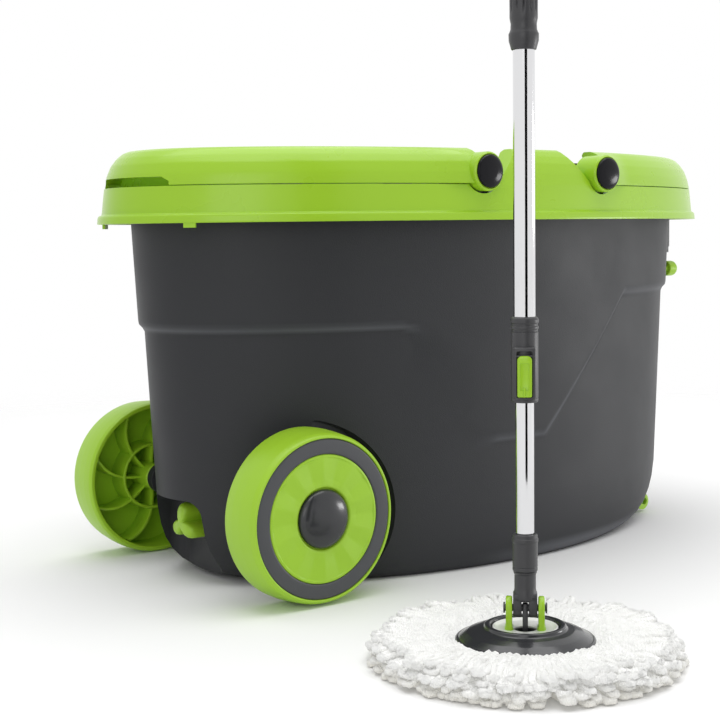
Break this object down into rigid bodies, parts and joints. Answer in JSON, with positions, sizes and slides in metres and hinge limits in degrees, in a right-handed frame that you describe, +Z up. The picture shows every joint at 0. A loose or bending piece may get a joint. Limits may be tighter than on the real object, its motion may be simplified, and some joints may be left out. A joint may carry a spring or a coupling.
{
  "type": "spin mop",
  "caption": "Oval spin-mop bucket with folding carry handles, rear wheels, spin basket and drain, with a round microfibre mop on a telescoping push-to-spin pole.",
  "frame": {"origin": "centre of the bucket's base, on the floor", "axes": "+Z up, X along the bucket's long axis with the wheels at -X and the spin basket at +X, the mop stands beside the bucket at -Y"},
  "size_m": [0.54, 0.5181, 0.84],
  "materials": {
    "slate_shell": "fine matte moulded plastic, dark slate grey",
    "lime_shell": "glossy moulded plastic, lime green",
    "slate_parts": "matte moulded plastic, slate grey",
    "gloss_slate": "glossy moulded plastic, slate grey",
    "charcoal": "satin moulded plastic, charcoal",
    "lime_parts": "semi-gloss moulded plastic, lime green",
    "seal_rubber": "matte rubber",
    "bright_steel": "polished stainless steel tube",
    "plain_steel": "bright drawn steel",
    "white_plastic": "white moulded plastic",
    "microfibre": "white twisted microfibre yarn"
  },
  "bodies": {
    "bucket": {"bucket_shell": "slate_shell", "rim_cover": "lime_shell", "rim_clips": "lime_shell", "pivot_brackets": "charcoal", "pivot_pins": "charcoal", "wheel_axles": "plain_steel", "axle_clips": "plain_steel", "basket_post": "slate_parts", "basket_pin": "plain_steel", "wash_post": "slate_parts", "drain_collar": "charcoal", "dispenser_tank": "white_plastic", "dispenser_plate": "charcoal", "front_lugs": "lime_parts"},
    "rear_handle": {"handle_rear": "lime_shell"},
    "front_handle": {"handle_front": "lime_shell"},
    "near_wheel": {"wheel_near": "lime_parts", "wheel_ring_near": "slate_parts", "hub_cap_near": "gloss_slate"},
    "far_wheel": {"wheel_far": "lime_parts", "wheel_ring_far": "slate_parts", "hub_cap_far": "gloss_slate"},
    "spin_basket": {"basket": "lime_parts", "basket_hub": "slate_parts", "basket_bush": "white_plastic"},
    "wash_pivot": {"wash_disc": "lime_parts"},
    "drain_plug": {"drain_cap": "lime_parts", "drain_seal": "seal_rubber"},
    "soap_button": {"dispenser_button": "lime_parts"},
    "mop_head": {"yarn_ring": "microfibre", "yarn_clamp": "white_plastic", "mop_plate": "gloss_slate", "centre_dish": "white_plastic", "ear_bracket": "lime_parts", "tilt_pin": "plain_steel"},
    "lower_pole": {"yoke": "charcoal", "lower_socket": "charcoal", "lower_tube": "bright_steel", "drive_nut": "white_plastic"},
    "slide_bush": {"guide_bush": "white_plastic"},
    "upper_pole": {"lock_housing": "charcoal", "lock_collar": "charcoal", "lever_pin": "plain_steel", "upper_tube": "bright_steel", "drive_rod": "plain_steel", "rod_plug": "white_plastic", "lower_grip": "charcoal", "top_grip": "charcoal", "hanging_eye": "lime_parts"},
    "lock_lever": {"lock_lever": "lime_parts"}
  },
  "joints": [
    {"name": "rear_handle_fold", "type": "hinge", "parent": "bucket", "child": "rear_handle", "pos_m": [-0.057, 0, 0.2795], "axis": [0, 1, 0], "range_deg": [0, 100]},
    {"name": "front_handle_fold", "type": "hinge", "parent": "bucket", "child": "front_handle", "pos_m": [0.057, 0, 0.2795], "axis": [0, -1, 0], "range_deg": [0, 100]},
    {"name": "near_wheel_spin", "type": "hinge", "parent": "bucket", "child": "near_wheel", "pos_m": [-0.187, -0.108, 0.057], "axis": [0, 1, 0], "continuous": true},
    {"name": "far_wheel_spin", "type": "hinge", "parent": "bucket", "child": "far_wheel", "pos_m": [-0.187, 0.108, 0.057], "axis": [0, 1, 0], "continuous": true},
    {"name": "basket_spin", "type": "hinge", "parent": "bucket", "child": "spin_basket", "pos_m": [0.112, 0, 0.19], "axis": [0, 0, 1], "continuous": true},
    {"name": "wash_pivot_spin", "type": "hinge", "parent": "bucket", "child": "wash_pivot", "pos_m": [-0.1, 0, 0.035], "axis": [0, 0, 1], "continuous": true},
    {"name": "drain_cap_turn", "type": "hinge", "parent": "bucket", "child": "drain_plug", "pos_m": [-0.21, 0, 0.04], "axis": [-1, 0, 0], "range_deg": [0, 90]},
    {"name": "soap_button_press", "type": "slide", "parent": "bucket", "child": "soap_button", "axis": [-1, 0, 0], "range_m": [0, 0.005], "stiffness_N_per_m": 400},
    {"name": "mop_lift", "type": "slide", "parent": "bucket", "child": "mop_head", "axis": [0, 0, 1], "range_m": [0, 0.36]},
    {"name": "pole_tilt", "type": "hinge", "parent": "mop_head", "child": "lower_pole", "pos_m": [-0.17, -0.29, 0.03], "axis": [0.7254, -0.6884, 0], "range_deg": [-30, 75]},
    {"name": "pole_slide", "type": "slide", "parent": "lower_pole", "child": "slide_bush", "axis": [0, 0, 1], "range_m": [-0.06, 0.12]},
    {"name": "drive_spin", "type": "hinge", "parent": "slide_bush", "child": "upper_pole", "pos_m": [-0.17, -0.29, 0.155], "axis": [0, 0, 1], "range_deg": [-360, 720]},
    {"name": "lock_lever_flip", "type": "hinge", "parent": "upper_pole", "child": "lock_lever", "pos_m": [-0.17551, -0.2958, 0.1713], "axis": [-0.7254, 0.6884, 0], "range_deg": [0, 35]}
  ],
  "couplings": [
    {"joint": "drive_spin", "follows": "pole_slide", "rad_per_m": 104.72}
  ]
}
